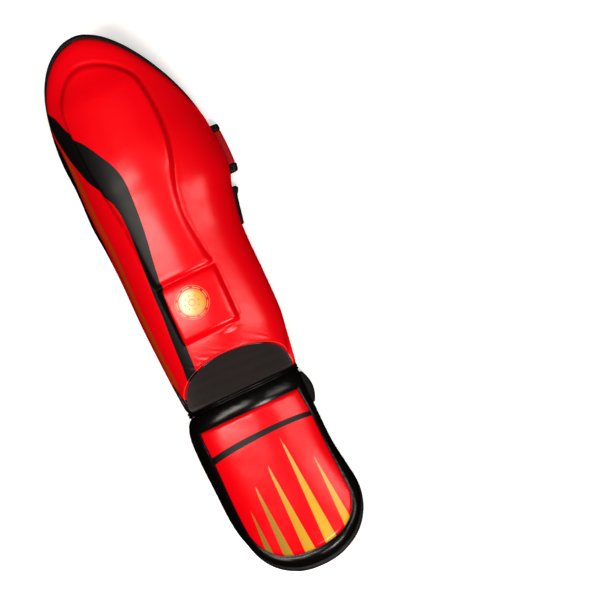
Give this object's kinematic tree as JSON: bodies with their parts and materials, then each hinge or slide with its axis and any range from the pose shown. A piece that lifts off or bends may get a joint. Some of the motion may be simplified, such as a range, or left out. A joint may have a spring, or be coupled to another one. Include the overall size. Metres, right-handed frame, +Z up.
{
  "type": "shin and instep guard",
  "caption": "Padded guard for the shin and instep: an arched shell over the shin, a cloth ankle, an arched pad over the foot, and straps round the leg and foot.",
  "frame": {"origin": "middle of the footprint, on the floor the guard lies on", "axes": "+Y towards the knee end, +X to the wearer's side that shows on the right in the picture, +Z up, out of the front of the guard"},
  "size_m": [0.1506, 0.5384, 0.0831],
  "materials": {
    "red_leather": "smooth glossy red synthetic leather with printed stripes",
    "black_leather": "smooth glossy black synthetic leather",
    "black_tape": "folded black binding tape, half gloss",
    "stretch_fabric": "matt dark stretch knit",
    "red_web": "red strap cloth",
    "black_elastic": "ribbed black elastic"
  },
  "bodies": {
    "root": {"shin_pad": "red_leather", "shin_binding": "black_tape", "ankle_panel": "stretch_fabric", "ankle_welt": "black_leather", "instep_pad": "black_leather", "instep_facing": "red_leather", "instep_binding": "black_tape", "calf_strap_upper": "red_web", "calf_strap_upper_edge_top": "black_tape", "calf_strap_upper_edge_bottom": "black_tape", "calf_strap_lower": "black_elastic", "foot_strap": "black_elastic"}
  },
  "joints": []
}
